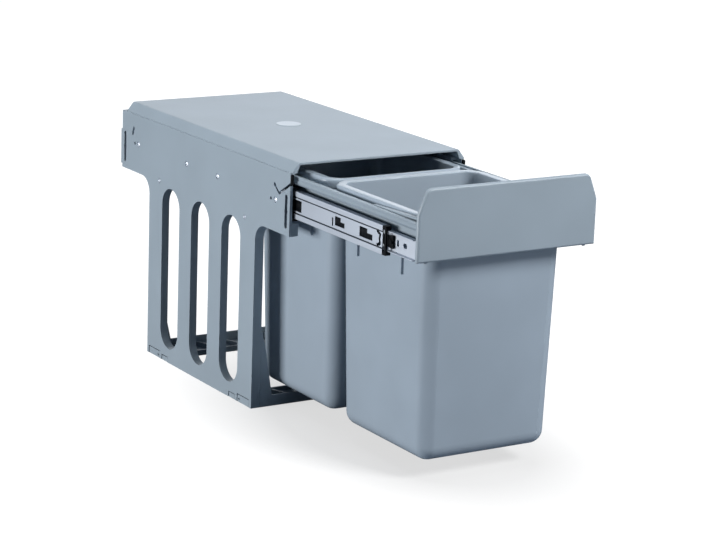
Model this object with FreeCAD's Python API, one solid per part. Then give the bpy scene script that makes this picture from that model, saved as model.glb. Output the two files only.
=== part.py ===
import FreeCAD, Part
import math
import os

V = FreeCAD.Vector

# Pull-out recycling bin for a 300 mm cabinet, in millimetres.
# X runs across, the front faces -Y, Z is up and Z = 0 is the cabinet floor.
# The origin is in the middle of the four floor screws. The drawer stands part way out.

# Overall sizes
HALF_WIDTH = 128.0

# Side frames
FRAME_WALL = 4.0
FRAME_DEPTH = 13.0
SLOT_DEPTH = 11.0
BAND_HALF_LENGTH = 232.0
BAND_BOTTOM = 245.0
BAND_TOP = 325.0
LEG_HALF_LENGTH = 147.5
LEG_FILLET = 22.0
SLOT_WIDTH = 50.0
SLOT_PITCH = 84.0
SLOT_BOTTOM = 20.0
SLOT_TOP = 242.0
MOUTH_DEPTH = 10.0
GAP_LINE = 3.2
GAP_HOLE_RADIUS = 2.6
GAP_PATH = ((-194.0, 304.0), (-205.0, 295.0), (-233.0, 312.0))
REAR_GAP_LINE = 5.0
REAR_GAP_PATH = ((197.0, 305.0), (200.0, 297.5))

# Cover
COVER_WALL = 3.0
COVER_FOOT_WALL = 8.3
COVER_SHOULDER_WALL = 2.0
COVER_TOP = 338.0
COVER_INSET = 10.5
COVER_LIP = 1.6
COVER_STEP = 1.4
COVER_FRONT = -234.0
COVER_REAR = 222.6
COVER_EDGE = 4.0
COVER_BOSS_RADIUS = 3.5
COVER_BOSS_HEIGHT = 4.0
DISC_PLACE = (0.0, -4.0)
DISC_RADIUS = 16.5
DISC_HEIGHT = 0.6

# Rear tie between the side frames
TIE_DEPTH = 6.0
TIE_FROM = 262.0
TIE_TO = 321.0

# Base crossbars
BAR_DEPTH = 50.0
BAR_OUTER_HEIGHT = 14.5
BAR_INNER_HEIGHT = 8.0
BAR_WALL = 2.5
BAR_FLOOR = 2.0
BAR_RIBS = 12
GUSSET_TOP = 100.0
GUSSET_KNEE = (108.5, 82.0)
GUSSET_FOOT = 97.0
FLOOR_HOLE_X = 70.0
FLOOR_HOLE_RADIUS = 2.5
FLOOR_BOSS_RADIUS = 6.0
TONGUES = ((88.0, 103.0, 6.5), (111.0, 141.0, 9.5))
TONGUE_PLAY = 1.2
TONGUE_SET_BACK = 0.5
TONGUE_HOLE_RADIUS = 1.5
TONGUE_HOLE_Y = 115.0
TONGUE_HOLE_Z = 4.0
TONGUE_HOLE_DEPTH = 4.0

# Fixing brackets at the ends of the side frames
BRACKET_SLOT_Y = 223.0
BRACKET_SLOT_WIDTH = 6.0
BRACKET_SLOT_FROM = 254.0
BRACKET_SLOT_TO = 297.0
BRACKET_HOLE_Z = 276.0
BRACKET_HOLE_RADIUS = 3.8
BRACKET_THICKNESS = 1.6
BRACKET_INNER_END = 214.5
BRACKET_FRONT_END = BAND_HALF_LENGTH
BRACKET_REAR_END = 235.5
BRACKET_LOW = 250.0
BRACKET_HIGH = 298.5

# Ball-bearing slides, centred on one height
SLIDE_Z = 285.0
SHEET = 1.2
SLIDE_OUT = HALF_WIDTH - FRAME_WALL
SLIDE_IN = SLIDE_OUT - 12.7
OUTER_HALF = 22.5
MIDDLE_HALF = 17.5
INNER_HALF = 12.5
OUTER_EDGE = 2.2
OUTER_LIP = 3.6
MIDDLE_EDGE = 1.9
INNER_EDGE = 6.2
MIDDLE_FACE = SLIDE_OUT - 3.5
OUTER_RAIL_FRONT = -212.0
OUTER_RAIL_LENGTH = 430.0
MIDDLE_RAIL_FRONT = -433.5
MIDDLE_RAIL_LENGTH = 437.5
INNER_RAIL_FRONT = -494.0
INNER_RAIL_LENGTH = 435.0
GROOVE_RISE = 10.0
GROOVE_WIDTH = 1.4
GROOVE_DEPTH = 0.8
WEB_RECESS = 0.4
PLAIN_WINDOWS = ((-322.5, -319.5, -7.0, 3.0), (-247.0, -215.0, -7.0, 7.0))
STEPPED_WINDOWS = ((-348.5, -326.5, -5.0, 6.0), (-411.5, -382.5, -6.0, 6.0))
WINDOW_STEP = 5.0
WINDOW_STEP_SHARE = 0.4
BRACE_SLOT = ((-422.5, 8.0), (-428.5, 5.5), (-427.0, 0.0), (-428.5, -5.5), (-422.5, -8.0))
BRACE_WIDTH = 3.6
INNER_HOLE_Y = -470.7
INNER_HOLE_RADIUS = 2.8
INNER_HOLE_STRETCH = 2.6
INNER_SLOT_Y = -455.4
INNER_SLOT_WIDTH = 4.0
INNER_SLOT_HALF = 3.8
GUIDE_PLAY = 0.4
GUIDE_TAIL = 8.0
GUIDE_NOSE = 18.0
GUIDE_PROUD = 8.0
GUIDE_LINK = 3.0
BALL_RADIUS = 1.75
BALLS_PER_ROW = 7
BALL_PLAY = 0.05
STOP_DEPTH = 4.0
STOP_HALF_HEIGHT = 6.0
STOP_REACH = 7.5
CAGE_LENGTH = 100.0
CAGE_WALL = 0.8
CAGE_PLAY = 0.6
OUTER_CAGE_Y = -115.0
INNER_CAGE_Y = -250.0

# Release levers
LEVER_PIVOT_Y = -445.5
LEVER_FRONT = -449.8
LEVER_REAR = -405.0
LEVER_HALF = 8.0
LEVER_TIP_HALF = 3.0
LEVER_SHOULDER = 10.0
LEVER_CHAMFER = 1.5
LEVER_NOTCH = 1.7
LEVER_THICKNESS = 3.4
LEVER_GAP = 0.4
LEVER_PIN_RADIUS = 2.0
LEVER_PLAY = 0.08
RIVET_HEAD_RADIUS = 3.2
RIVET_HEAD_HEIGHT = 0.8

# Bins
BIN_FRONT_Y = -393.5
BIN_REAR_Y = -178.5
BIN_REAR_SMALLER = 4.5
BIN_BOTTOM = 23.5
BIN_WALL = 1.8
BIN_HALF_BOTTOM = (90.5, 91.5)
BIN_HALF_TOP = (96.5, 100.0)
BIN_SHIFT_BOTTOM = -6.5
BIN_SHIFT_TOP = -3.0
BIN_CORNER = 18.0
BIN_FOOT_RADIUS = 17.0
RIM_HALF = (107.0, 108.5)
RIM_CORNER = 30.0
RIM_BOTTOM = 312.0
RIM_TOP = 324.2
RIM_ROLL = 3.5
BIN_RIB_Y = (-47.5, 50.5)
BIN_RIB_OUT = 98.1
BIN_RIB_FROM = 243.0
BIN_RIB_TO = 297.0
BIN_RIB_TOE = 1.0

# Carrier and front panel
CARRIER_IN = SLIDE_IN - 2.0
CARRIER_WALL = 2.5
CARRIER_TOP_WALL = 3.0
CARRIER_LIP_WALL = 6.5
CARRIER_HOLE_PLAY = 1.2
CARRIER_ROUND = ((0.0, 4.5), (1.8, 1.0), (5.0, 0.0))
CARRIER_UNDER_ROUND = ((6.0, 0.0), (3.0, 0.9), (1.0, 2.6), (0.0, 5.0))
CARRIER_OUT = 120.5
CARRIER_TOP = 318.5
CARRIER_LIP_BOTTOM = 309.0
CARRIER_PLATE_BOTTOM = 279.5
CARRIER_GROOVE_IN = 102.5
CARRIER_GROOVE_BOTTOM = 291.0
CARRIER_REAR = -67.5
LEDGE_IN = 99.5
PANEL_THICKNESS = 5.0
PANEL_FRONT = -517.0
PANEL_BACK = PANEL_FRONT + PANEL_THICKNESS
PANEL_HALF_WIDTH = 125.6
PANEL_BOTTOM = 275.2
PANEL_KINK = 331.0
PANEL_TOP = 361.6
PANEL_SLOPE = 12.0
PANEL_CORNER = 10.0
PANEL_EDGE = 3.0
PANEL_NUB_X = 111.7
PANEL_NUB = (2.0, 2.0, 1.5)
FRONT_BAR_THICKNESS = 3.0
FRONT_BAR_INSET = 2.0
FRONT_BAR_BELOW = 11.0
CARRIER_FRONT = PANEL_BACK + FRONT_BAR_THICKNESS
LEDGE_PLAY = 1.5

# Screws
SCREW_RADIUS = 2.0
SCREW_HOLE = 2.1
HEAD_RADIUS = 3.6
HEAD_HEIGHT = 1.5
SMALL_HEAD_RADIUS = 3.0
RECESS_PLAY = 0.1
PANEL_SCREW_BITE = 2.5
RAIL_SCREW_Y = (-196.0, -44.6, 41.0, 183.0)
SPARE_HOLE_Y = (-185.0, 193.0)
LEG_SCREW_Y = (-119.0, 119.0)
LEG_SCREW_Z = 247.0
CARRIER_SCREW_Y = (-360.0, -200.0, -90.0)
PANEL_SCREW_X = (-90.0, -45.0, 45.0, 90.0)
PANEL_SCREW_Z = 295.0
COVER_SCREW_Y = (-190.0, 190.0)
COVER_SCREW_X = 120.6

UP = V(0, 0, 1)
ACROSS = V(1, 0, 0)
ALONG = V(0, 1, 0)


def box(x0, x1, y0, y1, z0, z1):
    """A block between two opposite corners."""
    return Part.makeBox(x1 - x0, y1 - y0, z1 - z0, V(x0, y0, z0))


def between(first, second):
    """Two places, the lower one first."""
    return min(first, second), max(first, second)


def rod(radius, start, direction, length):
    """A round bar from a start point."""
    return Part.makeCylinder(radius, length, V(*start), direction)


def face_yz(points, x):
    """A flat polygon standing across X."""
    corners = [V(x, y, z) for y, z in points]
    return Part.Face(Part.makePolygon(corners + corners[:1]))


def prism_x(points, x0, x1):
    """A polygon of (y, z) points drawn out along X."""
    return face_yz(points, x0).extrude(V(x1 - x0, 0, 0))


def prism_y(points, y0, y1):
    """A polygon of (x, z) points drawn out along Y."""
    corners = [V(x, y0, z) for x, z in points]
    return Part.Face(Part.makePolygon(corners + corners[:1])).extrude(V(0, y1 - y0, 0))


def fuse(shapes):
    """One solid from touching shapes, without seams."""
    return shapes[0].multiFuse(shapes[1:]).removeSplitter()


def mirrored(shape):
    """The same shape on the left side."""
    return shape.mirror(V(0, 0, 0), ACROSS)


def mirrored_rear(shape):
    """The same shape at the rear."""
    return shape.mirror(V(0, 0, 0), ALONG)


def obround(y, half_width, z0, z1, x0, x1):
    """An upright slot with round ends, drawn out along X."""
    length = x1 - x0
    low = z0 + half_width
    high = z1 - half_width
    block = box(x0, x1, y - half_width, y + half_width, low, high)
    ends = [rod(half_width, (x0, y, z), ACROSS, length) for z in (low, high)]
    return fuse([block] + ends)


def rounded_rectangle(half_x, half_y, radius, y, z):
    """A closed level outline with four round corners."""
    left, right = -half_x, half_x
    near, far = y - half_y, y + half_y
    turn = radius * (1 - math.sqrt(0.5))
    lines = [
        ((left + radius, near), (right - radius, near)),
        ((right, near + radius), (right, far - radius)),
        ((right - radius, far), (left + radius, far)),
        ((left, far - radius), (left, near + radius)),
    ]
    middles = [
        (right - turn, near + turn),
        (right - turn, far - turn),
        (left + turn, far - turn),
        (left + turn, near + turn),
    ]
    edges = []
    for index, (start, end) in enumerate(lines):
        following = lines[(index + 1) % 4][0]
        edges.append(Part.LineSegment(V(*start, z), V(*end, z)).toShape())
        edges.append(Part.Arc(V(*end, z), V(*middles[index], z), V(*following, z)).toShape())
    return Part.Wire(edges)


def frame_outline(inset, x0, x1):
    """The side frame's outline, drawn in by an inset: an upper band on one broad leg."""
    band = BAND_HALF_LENGTH - inset
    leg = LEG_HALF_LENGTH - inset
    low = BAND_BOTTOM + inset
    radius = LEG_FILLET + inset
    shape = box(x0, x1, -band, band, low, BAND_TOP - inset)
    shape = shape.fuse(box(x0, x1, -leg, leg, inset, low + inset))
    for side in (-1, 1):
        corner = leg + radius
        near, far = between(side * leg, side * corner)
        web = box(x0, x1, near, far, low - radius, low)
        web = web.cut(rod(radius, (x0, side * corner, low - radius), ACROSS, x1 - x0))
        shape = shape.fuse(web)
    return shape.removeSplitter()


def stroke(path, width, x0, x1):
    """A bent line of (y, z) points with a round end and bends, drawn out along X."""
    pieces = [rod(width / 2, (x0, *path[0]), ACROSS, x1 - x0)]
    for (ya, za), (yb, zb) in zip(path, path[1:]):
        length = math.hypot(yb - ya, zb - za)
        sy = -(zb - za) / length * width / 2
        sz = (yb - ya) / length * width / 2
        outline = [(ya + sy, za + sz), (yb + sy, zb + sz), (yb - sy, zb - sz), (ya - sy, za - sz)]
        pieces.append(prism_x(outline, x0, x1))
        pieces.append(rod(width / 2, (x0, yb, zb), ACROSS, x1 - x0))
    return fuse(pieces)


def bracket_plate(side):
    """The space that an end bracket fills in the right side frame's outer face."""
    end = BRACKET_FRONT_END if side < 0 else BRACKET_REAR_END
    near, far = between(side * BRACKET_INNER_END, side * end)
    return box(HALF_WIDTH - BRACKET_THICKNESS, HALF_WIDTH, near, far, BRACKET_LOW, BRACKET_HIGH)


def bracket_slot(side, start):
    """The upright slot through an end bracket, which widens at a screw's place."""
    y = side * BRACKET_SLOT_Y
    end = HALF_WIDTH + 1
    slot = obround(y, BRACKET_SLOT_WIDTH / 2, BRACKET_SLOT_FROM, BRACKET_SLOT_TO, start, end)
    return slot.fuse(rod(BRACKET_HOLE_RADIUS, (start, y, BRACKET_HOLE_Z), ACROSS, end - start))


def bracket(side):
    """A fixing bracket: a thin strip with an upright slot."""
    slot = bracket_slot(side, HALF_WIDTH - BRACKET_THICKNESS - 1)
    return bracket_plate(side).cut(slot).removeSplitter()


def side_frame():
    """The right side frame: a face plate, a rim round its edge and a wall round each slot."""
    inner = HALF_WIDTH - FRAME_DEPTH
    plate = HALF_WIDTH - FRAME_WALL
    shape = frame_outline(0.0, inner, HALF_WIDTH).cut(frame_outline(FRAME_WALL, inner - 1, plate))
    half = SLOT_WIDTH / 2
    places = [index * SLOT_PITCH for index in (-1, 0, 1)]
    low = SLOT_BOTTOM - FRAME_WALL
    high = SLOT_TOP + FRAME_WALL
    for y in places:
        shape = shape.fuse(obround(y, half + FRAME_WALL, low, high, HALF_WIDTH - SLOT_DEPTH, plate))
    cuts = [obround(y, half, SLOT_BOTTOM, SLOT_TOP, inner - 1, HALF_WIDTH + 1) for y in places]
    # the slide and the carrier come out through the front end
    low = SLIDE_Z - OUTER_HALF - 1.0
    front = -BAND_HALF_LENGTH
    cuts.append(box(inner - 1, plate, front - 1, front + MOUTH_DEPTH, low, BAND_TOP + 1))
    for side in (-1, 1):
        cuts.append(bracket_slot(side, plate - 1))
        cuts.append(bracket_plate(side))
        for start, stop, height in TONGUES:
            near, far = between(side * (start - TONGUE_PLAY), side * (stop + TONGUE_PLAY))
            cuts.append(box(inner - 1, HALF_WIDTH + 1, near, far, -1, height + TONGUE_PLAY))
    cuts.append(rod(GAP_HOLE_RADIUS, (plate - 1, *GAP_PATH[0]), ACROSS, FRAME_WALL + 2))
    cuts.append(stroke(GAP_PATH, GAP_LINE, plate - 1, HALF_WIDTH + 1))
    cuts.append(stroke(REAR_GAP_PATH, REAR_GAP_LINE, plate - 1, HALF_WIDTH + 1))
    for y in RAIL_SCREW_Y:
        cuts.append(rod(SCREW_HOLE, (plate - 1, y, SLIDE_Z), ACROSS, FRAME_WALL + 2))
        cuts.append(rod(HEAD_RADIUS + RECESS_PLAY, (HALF_WIDTH - HEAD_HEIGHT, y, SLIDE_Z), ACROSS, 3))
    for y in SPARE_HOLE_Y:
        cuts.append(rod(SCREW_RADIUS, (plate - 1, y, SLIDE_Z), ACROSS, FRAME_WALL + 2))
    for y in LEG_SCREW_Y:
        seat = (HALF_WIDTH - HEAD_HEIGHT, y, LEG_SCREW_Z)
        cuts.append(rod(SMALL_HEAD_RADIUS + RECESS_PLAY, seat, ACROSS, 3))
    for y in COVER_SCREW_Y:
        cuts.append(rod(SCREW_HOLE, (COVER_SCREW_X, y, BAND_TOP - FRAME_WALL - 1), UP, FRAME_WALL + 2))
    return shape.cut(cuts).removeSplitter()


def cover_block():
    """The cover's outside: a level top with sloping sides, set in a little from the side frames."""
    top = HALF_WIDTH - COVER_INSET
    side = HALF_WIDTH - COVER_STEP
    lip = BAND_TOP + COVER_LIP
    outline = [(-side, BAND_TOP), (-side, lip), (-top, COVER_TOP),
               (top, COVER_TOP), (side, lip), (side, BAND_TOP)]
    block = prism_y(outline, COVER_FRONT, COVER_REAR)
    soft = []
    for edge in block.Edges:
        bounds = edge.BoundBox
        upper = bounds.ZMin > COVER_TOP - 0.01
        rear = bounds.YMin > COVER_REAR - 0.01
        if (upper and bounds.YLength > 1) or (rear and bounds.ZMax > lip + 1):
            soft.append(edge)
    return block.makeFillet(COVER_EDGE, soft)


def top_cover():
    """The cover: a shell that is closed at the rear and open at the front, with a boss for each screw."""
    block = cover_block()
    foot = HALF_WIDTH - COVER_FOOT_WALL
    inside = HALF_WIDTH - COVER_INSET - COVER_SHOULDER_WALL
    under = COVER_TOP - COVER_WALL
    low = BAND_TOP - 1
    hollow = [(-foot, low), (-foot, BAND_TOP), (-inside, under),
              (inside, under), (foot, BAND_TOP), (foot, low)]
    shape = block.cut(prism_y(hollow, COVER_FRONT - 1, COVER_REAR - COVER_WALL))
    places = [(side * COVER_SCREW_X, y) for side in (-1, 1) for y in COVER_SCREW_Y]
    bosses = [rod(COVER_BOSS_RADIUS, (*place, BAND_TOP), UP, COVER_BOSS_HEIGHT) for place in places]
    shape = shape.multiFuse(bosses).common(block)
    holes = [rod(SCREW_HOLE, (*place, low), UP, COVER_BOSS_HEIGHT + 0.5) for place in places]
    return shape.cut(holes).removeSplitter()


def cover_screws():
    """Four screws that hold the cover from below."""
    screws = []
    for side in (-1, 1):
        for y in COVER_SCREW_Y:
            x = side * COVER_SCREW_X
            low = BAND_TOP - FRAME_WALL
            head = rod(SMALL_HEAD_RADIUS, (x, y, low - HEAD_HEIGHT), UP, HEAD_HEIGHT)
            shank = rod(SCREW_RADIUS, (x, y, low), UP, FRAME_WALL + COVER_BOSS_HEIGHT - 1)
            screws.append(head.fuse(shank).removeSplitter())
    return Part.makeCompound(screws)


def rear_tie():
    """A plate that ties the two side frames together at the rear."""
    end = HALF_WIDTH - FRAME_DEPTH
    return box(-end, end, BAND_HALF_LENGTH - TIE_DEPTH, BAND_HALF_LENGTH, TIE_FROM, TIE_TO)


def crossbar():
    """The front base crossbar: a shallow ribbed tray with a gusset and a tongue at each end."""
    end = HALF_WIDTH - FRAME_DEPTH
    front = -LEG_HALF_LENGTH
    rear = front + BAR_DEPTH
    pieces = [
        box(-end, end, front, rear, 0, BAR_FLOOR),
        box(-end, end, front, front + BAR_WALL, 0, BAR_OUTER_HEIGHT),
        box(-end, end, rear - BAR_WALL, rear, 0, BAR_INNER_HEIGHT),
    ]
    pitch = 2 * end / BAR_RIBS
    for index in range(BAR_RIBS):
        ends = (front + BAR_WALL, rear - BAR_WALL)
        start, stop = ends if index % 2 else ends[::-1]
        x = -end + index * pitch
        corners = [(x, start), (x + BAR_WALL, start), (x + pitch, stop), (x + pitch - BAR_WALL, stop)]
        points = [V(px, py, 0) for px, py in corners]
        rib = Part.Face(Part.makePolygon(points + points[:1])).extrude(V(0, 0, BAR_INNER_HEIGHT))
        pieces.append(rib)
    for side in (-1, 1):
        gusset = [(side * end, BAR_OUTER_HEIGHT - 1), (side * end, GUSSET_TOP),
                  (side * GUSSET_KNEE[0], GUSSET_KNEE[1]), (side * GUSSET_FOOT, BAR_OUTER_HEIGHT - 1)]
        pieces.append(prism_y(gusset, front, front + BAR_WALL))
        plate = [(front, 0), (rear, 0), (rear, BAR_INNER_HEIGHT), (front + BAR_WALL, GUSSET_TOP),
                 (front, GUSSET_TOP)]
        near, far = between(side * end, side * (end - BAR_WALL))
        pieces.append(prism_x(plate, near, far))
        near, far = between(side * end, side * (HALF_WIDTH - TONGUE_SET_BACK))
        pieces += [box(near, far, -stop, -start, 0, height) for start, stop, height in TONGUES]
        middle = (side * FLOOR_HOLE_X, front + BAR_DEPTH / 2, 0)
        pieces.append(rod(FLOOR_BOSS_RADIUS, middle, UP, 2 * BAR_FLOOR))
    shape = fuse(pieces)
    for side in (-1, 1):
        hole = (side * FLOOR_HOLE_X, front + BAR_DEPTH / 2, -1)
        shape = shape.cut(rod(FLOOR_HOLE_RADIUS, hole, UP, BAR_OUTER_HEIGHT))
        near, far = between(side * (end + TONGUE_HOLE_DEPTH), side * (HALF_WIDTH + 1))
        shape = shape.cut(rod(TONGUE_HOLE_RADIUS, (near, -TONGUE_HOLE_Y, TONGUE_HOLE_Z), ACROSS, far - near))
    return shape.removeSplitter()


def channel(web, edge, half, y0, length):
    """A folded rail: an upright web, with a flange along its top and its foot."""
    inward = SHEET if edge > web else -SHEET
    low = SLIDE_Z - half
    high = SLIDE_Z + half
    y1 = y0 + length
    near, far = between(web, edge)
    pieces = [
        box(*between(web, web + inward), y0, y1, low, high),
        box(near, far, y0, y1, low, low + SHEET),
        box(near, far, y0, y1, high - SHEET, high),
    ]
    return fuse(pieces)


def outer_rail():
    """The right cabinet rail, with a lip along each flange and holes in its web."""
    y1 = OUTER_RAIL_FRONT + OUTER_RAIL_LENGTH
    edge = SLIDE_IN + OUTER_EDGE
    shape = channel(SLIDE_OUT, edge, OUTER_HALF, OUTER_RAIL_FRONT, OUTER_RAIL_LENGTH)
    for side in (-1, 1):
        low, high = between(SLIDE_Z + side * OUTER_HALF, SLIDE_Z + side * (OUTER_HALF - OUTER_LIP))
        shape = shape.fuse(box(edge, edge + SHEET, OUTER_RAIL_FRONT, y1, low, high))
    cuts = [rod(SCREW_HOLE, (SLIDE_OUT - 2, y, SLIDE_Z), ACROSS, 3) for y in RAIL_SCREW_Y]
    cuts += [rod(SCREW_RADIUS, (SLIDE_OUT - 2, y, SLIDE_Z), ACROSS, 3) for y in SPARE_HOLE_Y]
    return shape.cut(cuts).removeSplitter()


def rail_screws():
    """The screws that hold the right cabinet rail to its side frame, with heads outside."""
    screws = []
    seat = HALF_WIDTH - HEAD_HEIGHT
    for y in RAIL_SCREW_Y:
        head = rod(HEAD_RADIUS, (seat, y, SLIDE_Z), ACROSS, HEAD_HEIGHT)
        shank = rod(SCREW_RADIUS, (SLIDE_OUT - SHEET, y, SLIDE_Z), ACROSS, seat - SLIDE_OUT + SHEET)
        screws.append(head.fuse(shank).removeSplitter())
    for y in LEG_SCREW_Y:
        screws.append(rod(SMALL_HEAD_RADIUS, (seat, y, LEG_SCREW_Z), ACROSS, HEAD_HEIGHT))
    return Part.makeCompound(screws)


def rear_stop():
    """A rubber block at the rear end of the right cabinet rail."""
    y1 = OUTER_RAIL_FRONT + OUTER_RAIL_LENGTH
    far = SLIDE_OUT - SHEET
    low = SLIDE_Z - STOP_HALF_HEIGHT
    return box(far - STOP_REACH, far, y1 - STOP_DEPTH, y1, low, low + 2 * STOP_HALF_HEIGHT)


def stepped_window(y0, y1, low, high):
    """A window in the middle rail: a tall part and a lower part in front of it."""
    x0 = MIDDLE_FACE - 2 * SHEET
    x1 = MIDDLE_FACE + 1
    middle = y0 + (y1 - y0) * WINDOW_STEP_SHARE
    tall = box(x0, x1, middle, y1, SLIDE_Z + low, SLIDE_Z + high)
    return tall.fuse(box(x0, x1, y0, middle, SLIDE_Z + low, SLIDE_Z + high - WINDOW_STEP))


def middle_rail():
    """The right intermediate rail: a channel with two long grooves, windows and a brace-shaped slot."""
    edge = SLIDE_IN + MIDDLE_EDGE
    shape = channel(MIDDLE_FACE, edge, MIDDLE_HALF, MIDDLE_RAIL_FRONT, MIDDLE_RAIL_LENGTH)
    y0 = MIDDLE_RAIL_FRONT - 1
    y1 = MIDDLE_RAIL_FRONT + MIDDLE_RAIL_LENGTH + 1
    x0 = MIDDLE_FACE - 2 * SHEET
    x1 = MIDDLE_FACE + 1
    cuts = []
    for side in (-1, 1):
        z = SLIDE_Z + side * GROOVE_RISE
        half = GROOVE_WIDTH / 2
        cuts.append(box(MIDDLE_FACE - GROOVE_DEPTH, x1, y0, y1, z - half, z + half))
    cuts.append(box(MIDDLE_FACE - WEB_RECESS, x1, y0, y1, SLIDE_Z - GROOVE_RISE, SLIDE_Z + GROOVE_RISE))
    for near, far, low, high in PLAIN_WINDOWS:
        cuts.append(box(x0, x1, near, far, SLIDE_Z + low, SLIDE_Z + high))
    cuts += [stepped_window(*window) for window in STEPPED_WINDOWS]
    cuts.append(stroke([(y, SLIDE_Z + z) for y, z in BRACE_SLOT], BRACE_WIDTH, x0, x1))
    return shape.cut(cuts).removeSplitter()


def guide(near, far, gap, top, y0, y1):
    """An upper and a lower guide block at the end of a rail, from a sliding gap out to the rail's flange."""
    return [box(near, far, y0, y1, *between(SLIDE_Z + side * gap, SLIDE_Z + side * top)) for side in (-1, 1)]


def outer_guide():
    """The black guide in the right cabinet rail's front end: two long blocks joined along the web."""
    near = SLIDE_IN + OUTER_EDGE + SHEET
    far = SLIDE_OUT - SHEET
    top = OUTER_HALF - SHEET
    y0 = OUTER_RAIL_FRONT - GUIDE_NOSE
    y1 = OUTER_RAIL_FRONT + GUIDE_TAIL
    blocks = guide(near, far, MIDDLE_HALF + GUIDE_PLAY, top, y0, y1)
    web = box(MIDDLE_FACE + GUIDE_PLAY, far, y0, y1, SLIDE_Z - top, SLIDE_Z + top)
    return fuse(blocks + [web])


def middle_guide():
    """The black guide on the front end of the right middle rail: capped blocks joined by a thin link."""
    near = SLIDE_IN + MIDDLE_EDGE
    gap = INNER_HALF + GUIDE_PLAY
    y0 = MIDDLE_RAIL_FRONT - GUIDE_PROUD
    y1 = MIDDLE_RAIL_FRONT
    caps = guide(near, MIDDLE_FACE, gap, MIDDLE_HALF, y0, y1)
    tails = guide(near, MIDDLE_FACE - SHEET, gap, MIDDLE_HALF - SHEET, y1, y1 + GUIDE_TAIL)
    link = box(MIDDLE_FACE - 2 * SHEET, MIDDLE_FACE, y0, y0 + GUIDE_LINK, SLIDE_Z - gap, SLIDE_Z + gap)
    return fuse(caps + tails + [link])


def front_holes(play, start, end):
    """The oval hole and the upright slot near the front of the drawer rail, with some play round them."""
    hole = [(INNER_HOLE_Y + side * INNER_HOLE_STRETCH / 2, SLIDE_Z) for side in (-1, 1)]
    half = INNER_SLOT_WIDTH / 2 + play
    rise = INNER_SLOT_HALF + play
    slot = box(start, end, INNER_SLOT_Y - half, INNER_SLOT_Y + half, SLIDE_Z - rise, SLIDE_Z + rise)
    return [stroke(hole, 2 * (INNER_HOLE_RADIUS + play), start, end), slot]


def inner_rail():
    """The right drawer rail: a channel that faces the middle rail, with its front holes."""
    shape = channel(SLIDE_IN, SLIDE_IN + INNER_EDGE, INNER_HALF, INNER_RAIL_FRONT, INNER_RAIL_LENGTH)
    start = SLIDE_IN - 1
    end = SLIDE_IN + SHEET + 1
    cuts = front_holes(0.0, start, end)
    cuts.append(rod(LEVER_PIN_RADIUS, (start, LEVER_PIVOT_Y, SLIDE_Z), ACROSS, end - start))
    cuts += [rod(SCREW_HOLE, (start, y, SLIDE_Z), ACROSS, end - start) for y in CARRIER_SCREW_Y]
    return shape.cut(cuts).removeSplitter()


def ball_places(y):
    """The places of one cage's balls along the slide."""
    pitch = CAGE_LENGTH / BALLS_PER_ROW
    return [y + (index - (BALLS_PER_ROW - 1) / 2) * pitch for index in range(BALLS_PER_ROW)]


def ball_rows(race):
    """The heights of the upper and the lower row of balls."""
    return [SLIDE_Z - race, SLIDE_Z + race]


def balls(x, race, y):
    """The steel balls of one cage, in two rows."""
    return Part.makeCompound([Part.makeSphere(BALL_RADIUS, V(x, place, z))
                              for z in ball_rows(race) for place in ball_places(y)])


def cage(web, x, race, y):
    """A ball cage: a thin web between the rails and a pierced strip along each ball row."""
    y0 = y - CAGE_LENGTH / 2
    y1 = y + CAGE_LENGTH / 2
    out = web + CAGE_WALL
    half = CAGE_WALL * 0.75
    near = x - BALL_RADIUS - CAGE_WALL
    pieces = [box(web, out, y0, y1, SLIDE_Z - race - half, SLIDE_Z + race + half)]
    for z in ball_rows(race):
        pieces.append(box(near, out, y0, y1, z - half, z + half))
    holes = []
    for z in ball_rows(race):
        for place in ball_places(y):
            holes.append(rod(BALL_RADIUS + BALL_PLAY, (x, place, z - CAGE_WALL), UP, 2 * CAGE_WALL))
    return fuse(pieces).cut(holes).removeSplitter()


def lever():
    """The right release lever: a tapered plastic arm with a notched thumb pad, bored for its rivet."""
    upper = [
        (LEVER_FRONT, LEVER_HALF - LEVER_CHAMFER),
        (LEVER_FRONT + LEVER_CHAMFER, LEVER_HALF),
        (LEVER_PIVOT_Y + LEVER_SHOULDER, LEVER_HALF - LEVER_CHAMFER),
        (LEVER_REAR, LEVER_TIP_HALF),
    ]
    points = [(y, SLIDE_Z + rise) for y, rise in upper] + [(y, SLIDE_Z - rise) for y, rise in upper[::-1]]
    near = SLIDE_IN + SHEET + LEVER_GAP
    bore = rod(LEVER_PIN_RADIUS + LEVER_PLAY, (near - 1, LEVER_PIVOT_Y, SLIDE_Z), ACROSS, LEVER_THICKNESS + 2)
    notch = rod(LEVER_NOTCH, (near - 1, LEVER_FRONT, SLIDE_Z), ACROSS, LEVER_THICKNESS + 2)
    return prism_x(points, near, near + LEVER_THICKNESS).cut([bore, notch])


def lever_pin():
    """The rivet that the release lever turns on, headed outside."""
    head = SLIDE_IN + SHEET + LEVER_THICKNESS + 2 * LEVER_GAP
    pin = rod(LEVER_PIN_RADIUS, (SLIDE_IN, LEVER_PIVOT_Y, SLIDE_Z), ACROSS, head - SLIDE_IN)
    cap = rod(RIVET_HEAD_RADIUS, (head, LEVER_PIVOT_Y, SLIDE_Z), ACROSS, RIVET_HEAD_HEIGHT)
    return pin.fuse(cap).removeSplitter()


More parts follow.
